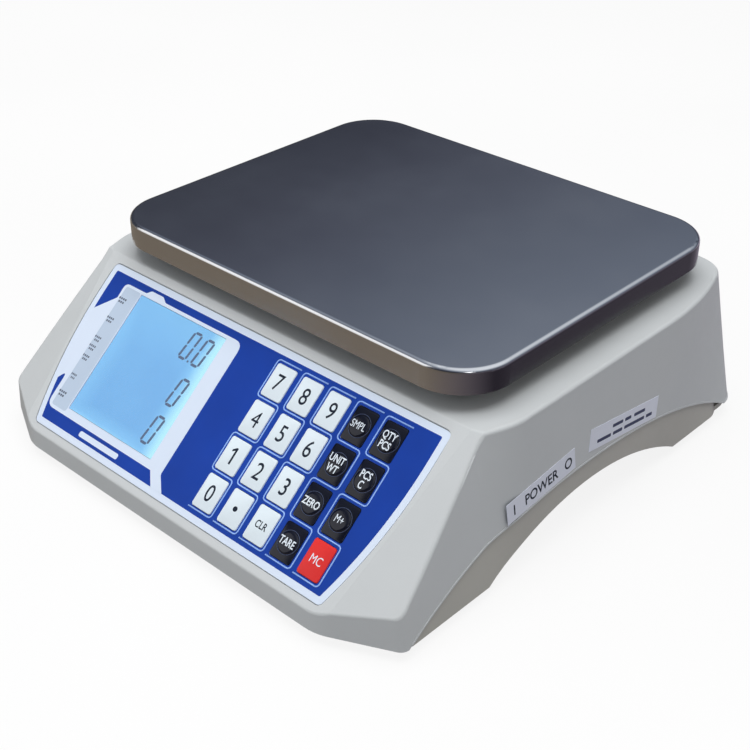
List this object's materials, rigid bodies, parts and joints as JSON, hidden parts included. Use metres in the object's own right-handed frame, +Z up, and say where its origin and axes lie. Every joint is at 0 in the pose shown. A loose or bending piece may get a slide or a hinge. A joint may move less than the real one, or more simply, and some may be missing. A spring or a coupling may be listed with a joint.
{
  "type": "counting scale",
  "caption": "Bench counting scale with a flat steel platter over a sloping keypad and lit display, on an arched base with screw feet.",
  "frame": {"origin": "on the table under the middle of the platter", "axes": "+Z up, the control panel slopes down towards -Y, +X to the user's right"},
  "size_m": [0.3214, 0.3317, 0.12],
  "materials": {
    "housing_plastic": "fine satin texture, light warm grey",
    "tray_plastic": "fine satin texture, slightly darker grey",
    "overlay_film": "printed blue polyester film, satin",
    "window_clear": "clear acrylic",
    "display_glass": "liquid-crystal cell",
    "backlight": "light diffuser",
    "white_plastic": "moulded",
    "circuit_board": "solder mask",
    "board_component": "moulded",
    "key_white": "smooth cap",
    "key_black": "smooth cap",
    "key_red": "smooth cap",
    "spring_steel": "bright",
    "stainless": "polished stainless sheet",
    "cast_aluminium": "as cast",
    "rubber": "matt",
    "zinc_steel": "zinc plated",
    "cell_aluminium": "machined",
    "plate_steel": "powder coat",
    "battery_case": "moulded",
    "black_plastic": "moulded",
    "transformer": "varnished laminations",
    "label_film": "printed film",
    "level_vial": "tinted liquid in a clear cup",
    "cable_sheath": "vinyl sheath",
    "ribbon": "flat ribbon"
  },
  "bodies": {
    "housing": {"base_plate": "plate_steel", "battery": "battery_case", "battery_cradle": "black_plastic", "battery_leads": "cable_sheath", "board_components": "board_component", "cell_base_spacer": "cell_aluminium", "cell_bolts_lower": "zinc_steel", "display_backlight": "backlight", "display_board": "circuit_board", "display_frame": "white_plastic", "display_glass": "display_glass", "display_ribbon": "ribbon", "display_window": "window_clear", "front_overlay": "overlay_film", "housing_screws": "zinc_steel", "inner_screws": "zinc_steel", "keypad_board": "circuit_board", "load_cell": "cell_aluminium", "load_cell_cable": "cable_sheath", "lower_housing": "tray_plastic", "main_board": "circuit_board", "mains_inlet": "black_plastic", "overload_stop": "zinc_steel", "power_label": "label_film", "power_leads": "cable_sheath", "power_switch_body": "black_plastic", "power_transformer": "transformer", "rating_label": "label_film", "snap_domes": "spring_steel", "spirit_level": "level_vial", "upper_housing": "housing_plastic"},
    "pan_support": {"pan_support": "cast_aluminium", "pan_buffers": "rubber", "cell_bolts_upper": "zinc_steel"},
    "platter": {"platter": "stainless"},
    "power_rocker": {"power_rocker": "black_plastic"},
    "key_7": {"key_7": "key_white"},
    "key_8": {"key_8": "key_white"},
    "key_9": {"key_9": "key_white"},
    "key_sample": {"key_sample": "key_black"},
    "key_quantity": {"key_quantity": "key_black"},
    "key_4": {"key_4": "key_white"},
    "key_5": {"key_5": "key_white"},
    "key_6": {"key_6": "key_white"},
    "key_unit_weight": {"key_unit_weight": "key_black"},
    "key_piece_count": {"key_piece_count": "key_black"},
    "key_1": {"key_1": "key_white"},
    "key_2": {"key_2": "key_white"},
    "key_3": {"key_3": "key_white"},
    "key_zero": {"key_zero": "key_black"},
    "key_memory_add": {"key_memory_add": "key_black"},
    "key_0": {"key_0": "key_white"},
    "key_point": {"key_point": "key_white"},
    "key_clear": {"key_clear": "key_white"},
    "key_tare": {"key_tare": "key_black"},
    "key_memory_clear": {"key_memory_clear": "key_red"},
    "foot_front_left": {"foot_front_left": "rubber"},
    "foot_rear_left": {"foot_rear_left": "rubber"},
    "foot_front_right": {"foot_front_right": "rubber"},
    "foot_rear_right": {"foot_rear_right": "rubber"}
  },
  "joints": [
    {"name": "pan_deflection", "type": "slide", "parent": "housing", "child": "pan_support", "axis": [0, 0, -1], "range_m": [0, 0.0005], "stiffness_N_per_m": 120000},
    {"name": "platter_lift", "type": "slide", "parent": "pan_support", "child": "platter", "axis": [0, 0, 1], "range_m": [0, 0.06]},
    {"name": "power_rocker_tilt", "type": "hinge", "parent": "housing", "child": "power_rocker", "pos_m": [0.138, -0.074, 0.0305], "axis": [1, 0, 0], "range_deg": [0, 14]},
    {"name": "key_7_press", "type": "slide", "parent": "housing", "child": "key_7", "axis": [0, 0.6534, -0.757], "range_m": [0, 0.0005], "stiffness_N_per_m": 600},
    {"name": "key_8_press", "type": "slide", "parent": "housing", "child": "key_8", "axis": [0, 0.6534, -0.757], "range_m": [0, 0.0005], "stiffness_N_per_m": 600},
    {"name": "key_9_press", "type": "slide", "parent": "housing", "child": "key_9", "axis": [0, 0.6534, -0.757], "range_m": [0, 0.0005], "stiffness_N_per_m": 600},
    {"name": "key_sample_press", "type": "slide", "parent": "housing", "child": "key_sample", "axis": [0, 0.6534, -0.757], "range_m": [0, 0.0005], "stiffness_N_per_m": 600},
    {"name": "key_quantity_press", "type": "slide", "parent": "housing", "child": "key_quantity", "axis": [0, 0.6534, -0.757], "range_m": [0, 0.0005], "stiffness_N_per_m": 600},
    {"name": "key_4_press", "type": "slide", "parent": "housing", "child": "key_4", "axis": [0, 0.6534, -0.757], "range_m": [0, 0.0005], "stiffness_N_per_m": 600},
    {"name": "key_5_press", "type": "slide", "parent": "housing", "child": "key_5", "axis": [0, 0.6534, -0.757], "range_m": [0, 0.0005], "stiffness_N_per_m": 600},
    {"name": "key_6_press", "type": "slide", "parent": "housing", "child": "key_6", "axis": [0, 0.6534, -0.757], "range_m": [0, 0.0005], "stiffness_N_per_m": 600},
    {"name": "key_unit_weight_press", "type": "slide", "parent": "housing", "child": "key_unit_weight", "axis": [0, 0.6534, -0.757], "range_m": [0, 0.0005], "stiffness_N_per_m": 600},
    {"name": "key_piece_count_press", "type": "slide", "parent": "housing", "child": "key_piece_count", "axis": [0, 0.6534, -0.757], "range_m": [0, 0.0005], "stiffness_N_per_m": 600},
    {"name": "key_1_press", "type": "slide", "parent": "housing", "child": "key_1", "axis": [0, 0.6534, -0.757], "range_m": [0, 0.0005], "stiffness_N_per_m": 600},
    {"name": "key_2_press", "type": "slide", "parent": "housing", "child": "key_2", "axis": [0, 0.6534, -0.757], "range_m": [0, 0.0005], "stiffness_N_per_m": 600},
    {"name": "key_3_press", "type": "slide", "parent": "housing", "child": "key_3", "axis": [0, 0.6534, -0.757], "range_m": [0, 0.0005], "stiffness_N_per_m": 600},
    {"name": "key_zero_press", "type": "slide", "parent": "housing", "child": "key_zero", "axis": [0, 0.6534, -0.757], "range_m": [0, 0.0005], "stiffness_N_per_m": 600},
    {"name": "key_memory_add_press", "type": "slide", "parent": "housing", "child": "key_memory_add", "axis": [0, 0.6534, -0.757], "range_m": [0, 0.0005], "stiffness_N_per_m": 600},
    {"name": "key_0_press", "type": "slide", "parent": "housing", "child": "key_0", "axis": [0, 0.6534, -0.757], "range_m": [0, 0.0005], "stiffness_N_per_m": 600},
    {"name": "key_point_press", "type": "slide", "parent": "housing", "child": "key_point", "axis": [0, 0.6534, -0.757], "range_m": [0, 0.0005], "stiffness_N_per_m": 600},
    {"name": "key_clear_press", "type": "slide", "parent": "housing", "child": "key_clear", "axis": [0, 0.6534, -0.757], "range_m": [0, 0.0005], "stiffness_N_per_m": 600},
    {"name": "key_tare_press", "type": "slide", "parent": "housing", "child": "key_tare", "axis": [0, 0.6534, -0.757], "range_m": [0, 0.0005], "stiffness_N_per_m": 600},
    {"name": "key_memory_clear_press", "type": "slide", "parent": "housing", "child": "key_memory_clear", "axis": [0, 0.6534, -0.757], "range_m": [0, 0.0005], "stiffness_N_per_m": 600},
    {"name": "foot_front_left_height", "type": "slide", "parent": "housing", "child": "foot_front_left", "axis": [0, 0, -1], "range_m": [-0.001, 0.006]},
    {"name": "foot_rear_left_height", "type": "slide", "parent": "housing", "child": "foot_rear_left", "axis": [0, 0, -1], "range_m": [-0.001, 0.006]},
    {"name": "foot_front_right_height", "type": "slide", "parent": "housing", "child": "foot_front_right", "axis": [0, 0, -1], "range_m": [-0.001, 0.006]},
    {"name": "foot_rear_right_height", "type": "slide", "parent": "housing", "child": "foot_rear_right", "axis": [0, 0, -1], "range_m": [-0.001, 0.006]}
  ]
}
